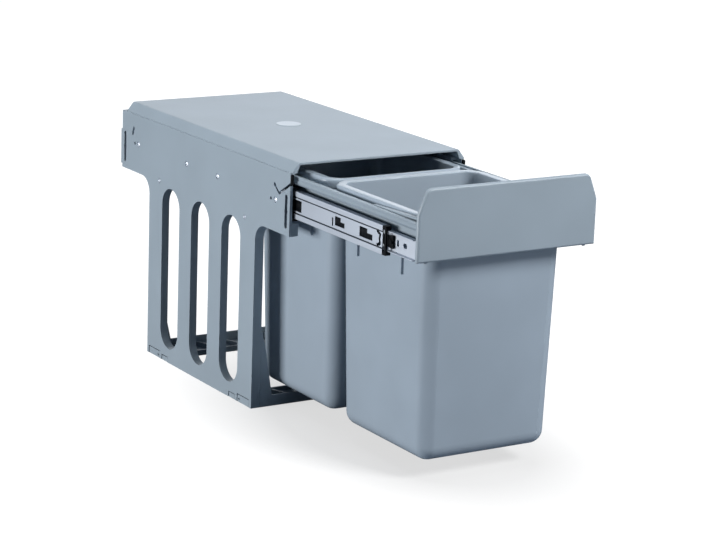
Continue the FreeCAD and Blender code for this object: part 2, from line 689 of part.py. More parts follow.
def carrier_rail():
    """The right carrier rail: a plate with a deep groove, a round outer lip and an inner ledge."""
    skirt = CARRIER_OUT - CARRIER_LIP_WALL
    under = CARRIER_TOP - CARRIER_TOP_WALL
    groove = CARRIER_GROOVE_IN + CARRIER_WALL
    groove_floor = CARRIER_GROOVE_BOTTOM + CARRIER_WALL
    ledge_under = RIM_BOTTOM - CARRIER_WALL
    shoulder = [(CARRIER_OUT - across, CARRIER_TOP - down) for across, down in CARRIER_ROUND]
    belly = [(CARRIER_OUT - across, CARRIER_LIP_BOTTOM + up) for across, up in CARRIER_UNDER_ROUND]
    section = [
        (CARRIER_IN, CARRIER_PLATE_BOTTOM), (SLIDE_IN, CARRIER_PLATE_BOTTOM), (SLIDE_IN, groove_floor),
        (groove, groove_floor), (groove, ledge_under), (SLIDE_IN, ledge_under), (SLIDE_IN, under),
        (skirt, under), (skirt, CARRIER_LIP_BOTTOM), *belly, *shoulder, (CARRIER_IN, CARRIER_TOP),
        (CARRIER_IN, RIM_BOTTOM), (LEDGE_IN, RIM_BOTTOM), (LEDGE_IN, ledge_under),
        (CARRIER_GROOVE_IN, ledge_under), (CARRIER_GROOVE_IN, CARRIER_GROOVE_BOTTOM),
        (CARRIER_IN, CARRIER_GROOVE_BOTTOM),
    ]
    shape = prism_y(section, CARRIER_FRONT, CARRIER_REAR)
    start = CARRIER_IN - 1
    end = SLIDE_IN + 1
    holes = [rod(SCREW_HOLE, (start, y, SLIDE_Z), ACROSS, end - start) for y in CARRIER_SCREW_Y]
    holes += front_holes(CARRIER_HOLE_PLAY, start, end)
    return shape.cut(holes).removeSplitter()


def carrier_screws():
    """The screws that hold the right drawer rail to the carrier."""
    screws = []
    seat = SLIDE_IN + SHEET
    for y in CARRIER_SCREW_Y:
        head = rod(HEAD_RADIUS, (seat, y, SLIDE_Z), ACROSS, HEAD_HEIGHT)
        shank = rod(SCREW_RADIUS, (CARRIER_IN, y, SLIDE_Z), ACROSS, seat - CARRIER_IN)
        screws.append(head.fuse(shank).removeSplitter())
    return Part.makeCompound(screws)


def front_bar():
    """The carrier's front bar: a plate behind the panel with a ledge for the front rim."""
    half = CARRIER_OUT - FRONT_BAR_INSET
    low = PANEL_SCREW_Z - FRONT_BAR_BELOW
    shelf_end = BIN_FRONT_Y + BIN_SHIFT_TOP - BIN_HALF_TOP[1] - LEDGE_PLAY
    plate = box(-half, half, PANEL_BACK, CARRIER_FRONT, low, RIM_BOTTOM)
    shelf = box(-LEDGE_IN, LEDGE_IN, CARRIER_FRONT, shelf_end, RIM_BOTTOM - CARRIER_WALL, RIM_BOTTOM)
    shape = fuse([plate, shelf])
    holes = [rod(SCREW_HOLE, (x, PANEL_FRONT, PANEL_SCREW_Z), ALONG, 20) for x in PANEL_SCREW_X]
    return shape.cut(holes).removeSplitter()


def middle_bar():
    """The carrier's middle bar, under the two rims where the bins meet."""
    near = BIN_FRONT_Y + BIN_SHIFT_TOP + BIN_HALF_TOP[1] + LEDGE_PLAY
    far = BIN_REAR_Y + BIN_SHIFT_TOP - BIN_HALF_TOP[1] + BIN_REAR_SMALLER - LEDGE_PLAY
    return box(-LEDGE_IN, LEDGE_IN, near, far, RIM_BOTTOM - 2 * CARRIER_WALL, RIM_BOTTOM)


def rear_bar():
    """The carrier's rear bar: an upright plate with a ledge for the rear rim."""
    near = BIN_REAR_Y + RIM_HALF[1] - BIN_REAR_SMALLER + LEDGE_PLAY
    shelf_start = BIN_REAR_Y + BIN_SHIFT_TOP + BIN_HALF_TOP[1] - BIN_REAR_SMALLER + LEDGE_PLAY
    plate = box(-CARRIER_IN, CARRIER_IN, near, CARRIER_REAR, RIM_BOTTOM, CARRIER_TOP)
    shelf = box(-LEDGE_IN, LEDGE_IN, shelf_start, CARRIER_REAR, RIM_BOTTOM - CARRIER_WALL, RIM_BOTTOM)
    return fuse([plate, shelf])


def panel_block():
    """The front panel's block: upright sides that lean in above a kink, with round upper corners."""
    half = PANEL_HALF_WIDTH
    top = half - PANEL_SLOPE
    points = [(-half, PANEL_BOTTOM), (-half, PANEL_KINK), (-top, PANEL_TOP),
              (top, PANEL_TOP), (half, PANEL_KINK), (half, PANEL_BOTTOM)]
    shape = prism_y(points, PANEL_FRONT, PANEL_BACK)
    bounds = [(edge, edge.BoundBox) for edge in shape.Edges]
    corners = [edge for edge, span in bounds if span.YLength > 1 and span.ZMin > PANEL_TOP - 1]
    return shape.makeFillet(PANEL_CORNER, corners)


def front_panel():
    """The front panel: a plate with softened front edges, a nub under each end and blind screw holes."""
    shape = panel_block()
    front_edges = [edge for edge in shape.Edges if edge.BoundBox.YMax < PANEL_FRONT + 0.01]
    shape = shape.makeFillet(PANEL_EDGE, front_edges)
    half, depth, height = PANEL_NUB
    for side in (-1, 1):
        x = side * PANEL_NUB_X
        nub = box(x - half, x + half, PANEL_BACK - depth, PANEL_BACK, PANEL_BOTTOM - height, PANEL_BOTTOM)
        shape = shape.fuse(nub)
    start = PANEL_BACK - PANEL_SCREW_BITE
    holes = [rod(SCREW_HOLE, (x, start, PANEL_SCREW_Z), ALONG, PANEL_SCREW_BITE + 1) for x in PANEL_SCREW_X]
    return shape.cut(holes).removeSplitter()


def panel_screws():
    """Four screws that hold the panel to the carrier's front bar."""
    screws = []
    for x in PANEL_SCREW_X:
        tip = PANEL_BACK - PANEL_SCREW_BITE + RECESS_PLAY
        shank = rod(SCREW_RADIUS, (x, tip, PANEL_SCREW_Z), ALONG, CARRIER_FRONT - tip)
        head = rod(HEAD_RADIUS, (x, CARRIER_FRONT, PANEL_SCREW_Z), ALONG, HEAD_HEIGHT)
        screws.append(shank.fuse(head).removeSplitter())
    return Part.makeCompound(screws)


def bin_body(inset, corner, y, bottom, top):
    """A tapered block with round corners, drawn in by an inset: the bin's outside, or its inside."""
    rise = RIM_TOP - BIN_BOTTOM
    rings = []
    for z in (bottom, top):
        share = (z - BIN_BOTTOM) / rise
        half = [low + (high - low) * share - inset for low, high in zip(BIN_HALF_BOTTOM, BIN_HALF_TOP)]
        middle = y + BIN_SHIFT_BOTTOM + (BIN_SHIFT_TOP - BIN_SHIFT_BOTTOM) * share
        rings.append(rounded_rectangle(half[0], half[1], corner, middle, z))
    return Part.makeLoft(rings, True, True)


def bin_ribs(y, smaller):
    """Short upright ribs on the bin's sides, under the slides."""
    ribs = []
    low = BIN_HALF_BOTTOM[0] + 2 - smaller
    out = BIN_RIB_OUT - smaller
    for side in (-1, 1):
        for place in BIN_RIB_Y:
            near = y + place - BIN_WALL / 2
            toe = side * (out - BIN_RIB_TOE)
            points = [(side * low, BIN_RIB_FROM), (toe, BIN_RIB_FROM),
                      (side * out, BIN_RIB_FROM + BIN_RIB_TOE), (side * out, BIN_RIB_TO),
                      (side * low, BIN_RIB_TO)]
            ribs.append(prism_y(points, near, near + BIN_WALL))
    return ribs


def foot_edges(shape, bottom):
    """The edges round a tapered block's foot."""
    return [edge for edge in shape.Edges if edge.BoundBox.ZMax < bottom + 0.01]


def recycling_bin(y, smaller):
    """One bin: a tapered tub with a rounded foot, a turned-down rim and ribs; the rear one is smaller."""
    outside = bin_body(smaller, BIN_CORNER, y, BIN_BOTTOM, RIM_TOP)
    outside = outside.makeFillet(BIN_FOOT_RADIUS, foot_edges(outside, BIN_BOTTOM))
    floor = BIN_BOTTOM + BIN_WALL
    inside = bin_body(smaller + BIN_WALL, BIN_CORNER - BIN_WALL, y, floor, RIM_TOP + 1)
    inside = inside.makeFillet(BIN_FOOT_RADIUS - BIN_WALL, foot_edges(inside, floor))
    rim_x, rim_y = [half - smaller for half in RIM_HALF]
    rim_face = Part.Face(rounded_rectangle(rim_x, rim_y, RIM_CORNER, y, RIM_BOTTOM))
    rim = rim_face.extrude(V(0, 0, RIM_TOP - RIM_BOTTOM))
    top_edges = [edge for edge in rim.Edges if edge.BoundBox.ZMin > RIM_TOP - 0.01]
    rim = rim.makeFillet(RIM_ROLL, top_edges)
    hollow_face = Part.Face(rounded_rectangle(rim_x - BIN_WALL, rim_y - BIN_WALL, RIM_CORNER - BIN_WALL, y,
                                              RIM_BOTTOM - 1))
    rim = rim.cut(hollow_face.extrude(V(0, 0, RIM_TOP - BIN_WALL - RIM_BOTTOM + 1)))
    return outside.multiFuse([rim] + bin_ribs(y, smaller)).cut(inside).removeSplitter()


def save(name, shape):
    """Writes one named piece and checks that it is sound."""
    solids = shape.Solids
    if not solids or not all(solid.isValid() for solid in solids):
        raise ValueError(name + " is not a sound solid")
    result = solids[0] if len(solids) == 1 else shape
    result.exportStep("parts/" + name + ".step")
    print("%-26s %2d solid(s) %9.1f cm3" % (name, len(solids), shape.Volume / 1000))


def main():
    """Makes every piece and writes it to its own file."""
    os.makedirs("parts", exist_ok=True)
    outer_x = (MIDDLE_FACE + SLIDE_IN + MIDDLE_EDGE + OUTER_LIP) / 2
    inner_x = SLIDE_IN + (SHEET + INNER_EDGE) / 2
    outer_race = (OUTER_HALF - SHEET + MIDDLE_HALF) / 2
    inner_race = (MIDDLE_HALF - SHEET + INNER_HALF) / 2
    pairs = {
        "side_frame": side_frame(),
        "front_bracket": bracket(-1),
        "rear_bracket": bracket(1),
        "outer_rail": outer_rail(),
        "rail_screws": rail_screws(),
        "rear_stop": rear_stop(),
        "outer_guide": outer_guide(),
        "outer_cage": cage(MIDDLE_FACE + CAGE_PLAY, outer_x, outer_race, OUTER_CAGE_Y),
        "outer_balls": balls(outer_x, outer_race, OUTER_CAGE_Y),
        "middle_rail": middle_rail(),
        "middle_guide": middle_guide(),
        "inner_cage": cage(SLIDE_IN + INNER_EDGE + CAGE_PLAY, inner_x, inner_race, INNER_CAGE_Y),
        "inner_balls": balls(inner_x, inner_race, INNER_CAGE_Y),
        "inner_rail": inner_rail(),
        "release_lever": lever(),
        "lever_rivet": lever_pin(),
        "carrier_rail": carrier_rail(),
        "carrier_screws": carrier_screws(),
    }
    for name, shape in pairs.items():
        save("right_" + name, shape)
        save("left_" + name, mirrored(shape))
    front_crossbar = crossbar()
    save("front_crossbar", front_crossbar)
    save("rear_crossbar", mirrored_rear(front_crossbar))
    save("rear_tie", rear_tie())
    save("top_cover", top_cover())
    save("cover_disc", rod(DISC_RADIUS, (*DISC_PLACE, COVER_TOP), UP, DISC_HEIGHT))
    save("cover_screws", cover_screws())
    save("carrier_front_bar", front_bar())
    save("carrier_middle_bar", middle_bar())
    save("carrier_rear_bar", rear_bar())
    save("front_panel", front_panel())
    save("panel_screws", panel_screws())
    save("front_bin", recycling_bin(BIN_FRONT_Y, 0.0))
    save("rear_bin", recycling_bin(BIN_REAR_Y, BIN_REAR_SMALLER))


main()
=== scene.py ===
# %% [markdown]
# # A pull-out recycling bin, dressed for its portrait
#
# The object is a pair of tubs on a drawer, made to be screwed into a narrow kitchen cabinet. Its solids come
# from a CAD model. This lesson keeps their sizes and places, and gives them finishes, softened edges, finer
# moulded detail, a studio and a camera.

# %% Load the solids
import math

import bpy
import numpy as np
from mathutils import Matrix, Vector


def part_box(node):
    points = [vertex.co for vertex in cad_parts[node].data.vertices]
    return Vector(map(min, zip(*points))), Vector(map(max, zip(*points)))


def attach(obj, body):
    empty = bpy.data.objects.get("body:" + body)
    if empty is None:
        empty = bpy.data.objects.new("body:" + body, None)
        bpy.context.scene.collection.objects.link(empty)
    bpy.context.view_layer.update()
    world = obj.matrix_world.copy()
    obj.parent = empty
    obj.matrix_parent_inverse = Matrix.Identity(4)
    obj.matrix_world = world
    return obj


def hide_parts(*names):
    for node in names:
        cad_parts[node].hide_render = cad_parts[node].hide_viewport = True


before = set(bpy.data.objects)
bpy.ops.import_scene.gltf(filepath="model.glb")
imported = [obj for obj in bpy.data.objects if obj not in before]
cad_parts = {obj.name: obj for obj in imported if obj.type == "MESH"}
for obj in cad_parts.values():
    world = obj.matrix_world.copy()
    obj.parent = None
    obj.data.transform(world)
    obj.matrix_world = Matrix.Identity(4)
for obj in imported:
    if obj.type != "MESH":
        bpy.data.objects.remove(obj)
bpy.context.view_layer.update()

# %% [markdown]
# ## Sizes taken from the solids
#
# The pieces made below stand on the solids or take their place, so they have to fit them. Their main sizes
# are measured on the solids' boxes, in millimetres, and only the finer sizes are written in this lesson.

# %% Measure the solids
MM = 0.001


def box_mm(node):
    """The low and high corners of a solid's box, each coordinate in mm to the nearest hundredth."""
    return np.round(np.array(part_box(node)) / MM, 2)


frame_low, frame_high = box_mm("right_side_frame")
rail_low, rail_high = box_mm("right_middle_rail")
carrier_low, carrier_high = box_mm("right_carrier_rail")
FACE = frame_high[0]
SLIDE_HEIGHT = (rail_low[2] + rail_high[2]) / 2
print("side frames' faces at %.1f mm, slides' middle at %.1f mm" % (FACE, SLIDE_HEIGHT))

# %% [markdown]
# ## The camera
#
# A portrait lens far away keeps the drawer's long edges nearly parallel. The camera's place and turn were
# found by fitting a pinhole camera to edges of the object, so the three angles and the place below are
# measured, not composed. Blender's camera looks along its own -Z, with its own X to the right of the picture.

# %% Place the camera
PICTURE_WIDTH = 716
FOCAL_PIXELS = 2423.2
SENSOR = 36.0
CAMERA_PLACE = Vector((-1.5961, -2.7418, 0.9294))
CAMERA_AZIMUTH = math.radians(32.033)
CAMERA_ELEVATION = math.radians(13.966)
CAMERA_ROLL = math.radians(2.045)

forward = Vector((math.sin(CAMERA_AZIMUTH) * math.cos(CAMERA_ELEVATION),
                  math.cos(CAMERA_AZIMUTH) * math.cos(CAMERA_ELEVATION), -math.sin(CAMERA_ELEVATION)))
level_right = forward.cross(Vector((0, 0, 1))).normalized()
level_up = level_right.cross(forward)
right = math.cos(CAMERA_ROLL) * level_right + math.sin(CAMERA_ROLL) * level_up
up = right.cross(forward)

camera = bpy.data.objects.new("camera", bpy.data.cameras.new("camera"))
camera.data.sensor_fit = "HORIZONTAL"
camera.data.sensor_width = SENSOR
camera.data.lens = FOCAL_PIXELS / PICTURE_WIDTH * SENSOR
camera.matrix_world = Matrix.Translation(CAMERA_PLACE) @ Matrix((right, up, -forward)).transposed().to_4x4()
bpy.context.scene.collection.objects.link(camera)
bpy.context.scene.camera = camera
bpy.context.scene.view_settings.view_transform = "Standard"
print("lens: %.1f mm, right axis rises %.4f" % (camera.data.lens, right.z))

# %% [markdown]
# ## Colours and nodes
#
# Colours are written as the hex values that a colour picker shows, and one function turns them to the linear
# values that light adds up in. Another small function adds a shader node with its settings and its links, so
# that a finish below reads as a list of what it is made of.

# %% Helpers for finishes
def linear(hex_colour):
    """A hex colour as linear red, green, blue and alpha: each channel by the sRGB curve."""
    channels = np.array([int(hex_colour[i:i + 2], 16) for i in (1, 3, 5)]) / 255.0
    low = channels / 12.92
    high = ((channels + 0.055) / 1.055) ** 2.4
    return (*np.where(channels <= 0.04045, low, high).tolist(), 1.0)


def add(tree, kind, settings=None, links=None):
    """Adds a node: settings are attributes or input values by name, links (node, output) by input name."""
    made = tree.nodes.new(kind)
    for name, value in (settings or {}).items():
        if isinstance(name, str) and hasattr(made, name):
            setattr(made, name, value)
        else:
            made.inputs[name].default_value = value
    for name, (source, output) in (links or {}).items():
        tree.links.new(source.outputs[output], made.inputs[name])
    return made


def blank_material(name):
    """An empty node material and its tree."""
    material = bpy.data.materials.new(name)
    material.use_nodes = True
    material.node_tree.nodes.clear()
    return material, material.node_tree


print("middle grey in linear light:", [round(v, 3) for v in linear("#808080")])

# %% [markdown]
# ## The studio
#
# The object stands on a white paper sweep. A soft box high on the front right lights the panel, the tubs'
# fronts and the cover. A low, strong one on the left lights the side frame and the tubs' sides. A weak one
# behind lifts the far edges, one overhead fills the cover's top, and a small low one lightens the front's
# shadows a little.
#
# The camera sees the sweep and the room as white. The light that comes back from them is dimmer and a little
# blue, so that the openings stay dark and the shadows cool. The floor keeps a soft cast shadow close to the
# tubs, and its glow is also dimmed near the object: painted shade that grows to white further out.

# %% Lay the floor
FLOOR_REACH = 30.0
FLOOR_ALBEDO = 0.22
# Painted shade on the floor: the glow that the camera sees is lowest near the object and grows to white
# further out.
FLOOR_GLOW = 0.66
FLOOR_FADE_PLACE = (0.0, 0.72, 0.0)
FLOOR_FADE_SCALE = (4.2, 2.4, 1.0)
FLOOR_FADE_RANGE = (0.55, 1.15)
FLOOR_BOUNCE = linear("#6C7785")


def seen_directly(tree):
    """One for rays from the camera or through a clear piece, and zero for light that bounces about."""
    path = add(tree, "ShaderNodeLightPath")
    return add(tree, "ShaderNodeMath", {"operation": "MAXIMUM"},
               {0: (path, "Is Camera Ray"), 1: (path, "Is Transmission Ray")})


floor_white, tree = blank_material("white paper sweep")
matt = add(tree, "ShaderNodeBsdfDiffuse", {"Color": FLOOR_BOUNCE})
dim = add(tree, "ShaderNodeBsdfDiffuse", {"Color": (FLOOR_ALBEDO, FLOOR_ALBEDO, FLOOR_ALBEDO, 1)})
place = add(tree, "ShaderNodeTexCoord")
around = add(tree, "ShaderNodeMapping", {"Location": FLOOR_FADE_PLACE, "Scale": FLOOR_FADE_SCALE},
             {"Vector": (place, "Object")})
reach = add(tree, "ShaderNodeVectorMath", {"operation": "LENGTH"}, {0: (around, "Vector")})
# Painted shade: the floor's glow is dimmed near the object.
painted_floor_shade = add(tree, "ShaderNodeMapRange", {"From Min": FLOOR_FADE_RANGE[0], "From Max": FLOOR_FADE_RANGE[1],
                                        "To Min": FLOOR_GLOW, "To Max": 1.0}, {"Value": (reach, "Value")})
glow = add(tree, "ShaderNodeEmission", links={"Strength": (painted_floor_shade, "Result")})
lit = add(tree, "ShaderNodeAddShader", links={0: (dim, 0), 1: (glow, 0)})
pick = add(tree, "ShaderNodeMixShader", links={0: (seen_directly(tree), 0), 1: (matt, 0), 2: (lit, 0)})
add(tree, "ShaderNodeOutputMaterial", links={"Surface": (pick, 0)})

floor_mesh = bpy.data.meshes.new("floor")
corners = np.array([(-1, -1, 0), (1, -1, 0), (1, 1, 0), (-1, 1, 0)]) * FLOOR_REACH
floor_mesh.from_pydata(corners.tolist(), [], [(0, 1, 2, 3)])
floor_mesh.materials.append(floor_white)
floor = bpy.data.objects.new("floor", floor_mesh)
bpy.context.scene.collection.objects.link(floor)
print("floor reaches", FLOOR_REACH, "m each way")

# %% Light the room
WORLD_STRENGTH = 0.07
WORLD_IN_GLOSS = 0.45
SHADE_TINT = linear("#A4BCDC")
MIDDLE = (0.0, -0.15, 0.2)
LAMPS = (
    ("key from front right", (0.95, -2.1, 2.0), 1.0, 1.0, 66.0),
    ("low fill from front right", (1.4, -2.4, 0.6), 0.8, 0.8, 7.0),
    ("left", (-2.6, 0.25, 0.25), 1.2, 0.8, 75.0),
    ("rear wall", (1.2, 2.0, 0.8), 3.0, 1.2, 15.0),
    ("overhead", (0.0, -0.1, 2.6), 1.4, 1.4, 24.0),
)


def soft_box(name, place, target, width, height, watts):
    """A rectangular area lamp at a place, turned to face a target."""
    lamp = bpy.data.lights.new(name, "AREA")
    lamp.shape = "RECTANGLE"
    lamp.size = width
    lamp.size_y = height
    lamp.energy = watts
    obj = bpy.data.objects.new(name, lamp)
    obj.location = place
    obj.rotation_euler = (Vector(target) - Vector(place)).to_track_quat("-Z", "Y").to_euler()
    bpy.context.scene.collection.objects.link(obj)


world = bpy.data.worlds.new("white studio")
world.use_nodes = True
tree = world.node_tree
tree.nodes.clear()
path = add(tree, "ShaderNodeLightPath")
level = add(tree, "ShaderNodeMapRange", {"To Min": WORLD_STRENGTH, "To Max": WORLD_IN_GLOSS},
            {"Value": (path, "Is Glossy Ray")})
ambient = add(tree, "ShaderNodeBackground", {"Color": SHADE_TINT}, {"Strength": (level, "Result")})
backdrop = add(tree, "ShaderNodeBackground", {"Color": (1, 1, 1, 1), "Strength": 1.0})
sky = add(tree, "ShaderNodeMixShader", links={0: (seen_directly(tree), 0), 1: (ambient, 0), 2: (backdrop, 0)})
add(tree, "ShaderNodeOutputWorld", links={"Surface": (sky, 0)})
bpy.context.scene.world = world

for name, place, width, height, watts in LAMPS:
    soft_box(name, place, MIDDLE, width, height, watts)

# %% [markdown]
# ## Moulded finishes
#
# Almost all of the object is injection-moulded polypropylene, coloured right through. Its surface comes from
# a finely spark-eroded mould, so it is satin: broad soft highlights, faint grain, and a slow drift of shade
# from the melt's flow. Guides, levers and ball cages are black acetal, and the stops are rubber. An image of
# the surface would do too, but noise in real millimetres needs no unwrapping, so one function makes them all.

# %% Mix the plastics
PLASTIC_IOR = 1.49
PATCH_MM = 90.0
PATCH_RANGE = (0.35, 0.65)
SHADES = (0.97, 1.03)
GLOSS_DRIFT = 0.05
GRAIN_BUMP, GRAIN_DEPTH_MM = 0.05, 0.1
WAVE_DEPTH_MM, WAVE_UPRIGHT = 1.2, 0.3


def moulded(name, hex_colour, roughness, grain_mm, wave_mm=None, sheen=0.5):
    """Plastic: noise drifts its colour in patches and its gloss in grain, and waves a thin wall."""
    material, tree = blank_material(name)
    place = add(tree, "ShaderNodeTexCoord")
    patches = add(tree, "ShaderNodeTexNoise", {"Scale": 1 / (PATCH_MM * MM), "Detail": 2.0},
                  {"Vector": (place, "Object")})
    grain = add(tree, "ShaderNodeTexNoise", {"Scale": 1 / (grain_mm * MM), "Detail": 1.0},
                {"Vector": (place, "Object")})
    colour = add(tree, "ShaderNodeValToRGB", links={"Fac": (patches, "Fac")})
    for stop, position, shade in zip(colour.color_ramp.elements, PATCH_RANGE, SHADES):
        stop.position = position
        stop.color = [value * shade for value in linear(hex_colour)[:3]] + [1]
    gloss = add(tree, "ShaderNodeMapRange",
                {"To Min": roughness - GLOSS_DRIFT, "To Max": roughness + GLOSS_DRIFT},
                {"Value": (grain, "Fac")})
    relief = add(tree, "ShaderNodeBump", {"Strength": GRAIN_BUMP, "Distance": GRAIN_DEPTH_MM * MM},
                 {"Height": (grain, "Fac")})
    if wave_mm:
        across = 1 / (wave_mm * MM)
        upright = add(tree, "ShaderNodeMapping", {"Scale": (across, across, WAVE_UPRIGHT * across)},
                      {"Vector": (place, "Object")})
        waves = add(tree, "ShaderNodeTexNoise", {"Scale": 1.0, "Detail": 0.0}, {"Vector": (upright, 0)})
        relief = add(tree, "ShaderNodeBump", {"Strength": 1.0, "Distance": WAVE_DEPTH_MM * MM},
                     {"Height": (waves, "Fac"), "Normal": (relief, "Normal")})
    shader = add(tree, "ShaderNodeBsdfPrincipled", {"IOR": PLASTIC_IOR, "Specular IOR Level": sheen},
                 {"Base Color": (colour, 0), "Roughness": (gloss, 0), "Normal": (relief, 0)})
    add(tree, "ShaderNodeOutputMaterial", links={"Surface": (shader, 0)})
    return material


# Blue grey and satin: the frames, cover and panel show broad soft highlights and no reflected shapes.
frame_plastic = moulded("satin polypropylene, blue grey", "#97A4AE", 0.42, 0.8)
# Glossier, with slow waves: thin moulded walls show soft bands of light that run down the tubs' sides.
bin_plastic = moulded("semi-gloss polypropylene, tub grey", "#9FACB8", 0.22, 1.0, wave_mm=70.0)
# Paler only, so that the blank disc stands out from the cover by its tone.
disc_plastic = moulded("satin polypropylene, pale", "#C3CDD6", 0.40, 0.8)
# Nearly black with a dull sheen: guides and levers read as dark shapes with faint edges, and so do the
# sheets of painted shade behind the slide's windows.
black_acetal = moulded("moulded acetal, black", "#07080B", 0.40, 0.6, sheen=0.2)
# Black without any shine, for the stops.
black_rubber = moulded("moulded rubber, black", "#0C0D0F", 0.65, 0.5)
print("plastics:", [m.name for m in (frame_plastic, bin_plastic, disc_plastic, black_acetal, black_rubber)])

# %% [markdown]
# ## Plated steel
#
# The slides are cold-rolled steel strip with a bright zinc plating, which shows faint rolling lines along the
# rail. Noise squeezed across the rail and drawn out along it gives such lines. The middle rail also has two
# rolled grooves, whose shade is painted: two dark lines in the steel's colour, worked out from the height of
# each point.

# %% Plate the steel
# The second colour is painted shade, drawn along the middle rail's rolled grooves.
ZINC, GROOVE_SHADE = "#C2C8D0", "#34383F"
ZINC_ROUGHNESS, ZINC_LINE_MM = 0.52, 1.2
DRAWN_MM = 60.0
LINE_GLOSS, LINE_BUMP, LINE_DEPTH_MM = 0.08, 0.06, 0.1
GROOVE_OFFSET_MM, GROOVE_NEAR_MM, GROOVE_FAR_MM = 10.0, 0.48, 1.12


def plated(name, hex_colour, roughness, line_mm):
    """Plated steel: noise that is fine across the rail and long along it drifts the gloss and the relief."""
    material, tree = blank_material(name)
    place = add(tree, "ShaderNodeTexCoord")
    fine = 1 / (line_mm * MM)
    along = add(tree, "ShaderNodeMapping", {"Scale": (fine, 1 / (DRAWN_MM * MM), fine)},
                {"Vector": (place, "Object")})
    lines = add(tree, "ShaderNodeTexNoise", {"Scale": 1.0, "Detail": 2.0}, {"Vector": (along, "Vector")})
    gloss = add(tree, "ShaderNodeMapRange",
                {"To Min": roughness - LINE_GLOSS, "To Max": roughness + LINE_GLOSS},
                {"Value": (lines, "Fac")})
    relief = add(tree, "ShaderNodeBump", {"Strength": LINE_BUMP, "Distance": LINE_DEPTH_MM * MM},
                 {"Height": (lines, "Fac")})
    shader = add(tree, "ShaderNodeBsdfPrincipled", {"Base Color": linear(hex_colour), "Metallic": 1.0},
                 {"Roughness": (gloss, "Result"), "Normal": (relief, "Normal")})
    add(tree, "ShaderNodeOutputMaterial", links={"Surface": (shader, 0)})
    return material


def paint_groove_shade(material):
    """Painted shade: darker steel where a point's distance from the slide's middle is near the groove's."""
    tree = material.node_tree
    shader = next(n for n in tree.nodes if n.type == "BSDF_PRINCIPLED")
    place = add(tree, "ShaderNodeTexCoord")
    parts = add(tree, "ShaderNodeSeparateXYZ", links={"Vector": (place, "Object")})
    height = add(tree, "ShaderNodeMath", {"operation": "SUBTRACT", 1: SLIDE_HEIGHT * MM}, {0: (parts, "Z")})
    above = add(tree, "ShaderNodeMath", {"operation": "ABSOLUTE"}, {0: (height, 0)})
    near = add(tree, "ShaderNodeMath", {"operation": "SUBTRACT", 1: GROOVE_OFFSET_MM * MM}, {0: (above, 0)})
    away = add(tree, "ShaderNodeMath", {"operation": "ABSOLUTE"}, {0: (near, 0)})
    out_of_groove = add(tree, "ShaderNodeMapRange", {"From Min": GROOVE_NEAR_MM * MM, "From Max": GROOVE_FAR_MM * MM},
                {"Value": (away, 0)})
    # Painted shade: the steel's colour is mixed towards the dark one along each groove.
    colour = add(tree, "ShaderNodeMix", {"data_type": "RGBA", 6: linear(GROOVE_SHADE), 7: linear(ZINC)},
                 {0: (out_of_groove, "Result")})
    tree.links.new(colour.outputs[2], shader.inputs["Base Color"])


# Pale and soft: the rails read lighter and cooler than the plastic, without a mirror image.
zinc = plated("zinc-plated steel strip", ZINC, ZINC_ROUGHNESS, ZINC_LINE_MM)
# The same strip, with two lines of painted shade that draw its rolled grooves.
grooved_zinc = plated("zinc-plated steel strip, rolled grooves", ZINC, ZINC_ROUGHNESS, ZINC_LINE_MM)
paint_groove_shade(grooved_zinc)
# Brighter, so that a screw head shows as a light dot on the frame.
screw_zinc = plated("zinc-plated screw steel", "#D2D7DE", 0.50, 0.8)
# Polished, for small sharp highlights on the balls.
ball_steel = plated("hardened ball steel", "#D5D8DC", 0.14, 0.6)
print("metals:", [m.name for m in (zinc, grooved_zinc, screw_zinc, ball_steel)])

# %% [markdown]
# ## A finish for every solid
#
# Each solid comes with a material slot that is named for what it is made of, so a table from slot to finish
# dresses all of them at once. Two kinds of piece differ: the grooved rails, and the levers' rivets, which are
# as black as the levers.

# %% Give every solid its finish
FINISH = {
    "grey_plastic": frame_plastic,
    "bin_plastic": bin_plastic,
    "pale_plastic": disc_plastic,
    "zinc_steel": zinc,
    "ball_steel": ball_steel,
    "black_plastic": black_acetal,
    "black_rubber": black_rubber,
}
OWN_FINISH = {"middle_rail": grooved_zinc, "lever_rivet": black_acetal}
for name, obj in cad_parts.items():
    own = [finish for ending, finish in OWN_FINISH.items() if name.endswith(ending)]
    for holder in obj.material_slots:
        holder.material = own[0] if own else FINISH[holder.material.name.split(".")[0]]
print("finished solids:", len(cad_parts))

# %% [markdown]
# ## Softened edges on the solids
#
# No moulded or folded edge is razor sharp: a mould is cut with a small cutter, and sheet steel bends round a
# radius. Those radii catch the light as thin bright lines. The solids stay as they are and get a stack of
# modifiers: loose triangles are welded, flat ones merged, and every edge that turns by more than about thirty
# degrees gets a narrow rounding. Weighted normals then keep the large faces flat to the eye.

# %% Round the solids' edges
WELD_MM = 0.005
FLAT_DEGREES, SHARP_DEGREES = 0.8, 32.0
ROUND_SEGMENTS = 2
EDGE_MM = {"side_frame": 0.3, "top_cover": 0.45, "front_panel": 0.5, "crossbar": 0.3, "carrier_rail": 0.5,
           "middle_rail": 0.3, "inner_rail": 0.3, "outer_rail": 0.3, "release_lever": 0.2, "bracket": 0.25,
           "guide": 0.4, "carrier_front_bar": 0.4, "carrier_middle_bar": 0.4, "carrier_rear_bar": 0.4,
           "rear_tie": 0.6, "rear_stop": 0.5, "cover_disc": 0.25}


def even_normals(obj):
    """Weights each corner's normal by the size of its faces, so that large faces look flat."""
    obj.modifiers.new("even normals", "WEIGHTED_NORMAL").keep_sharp = False


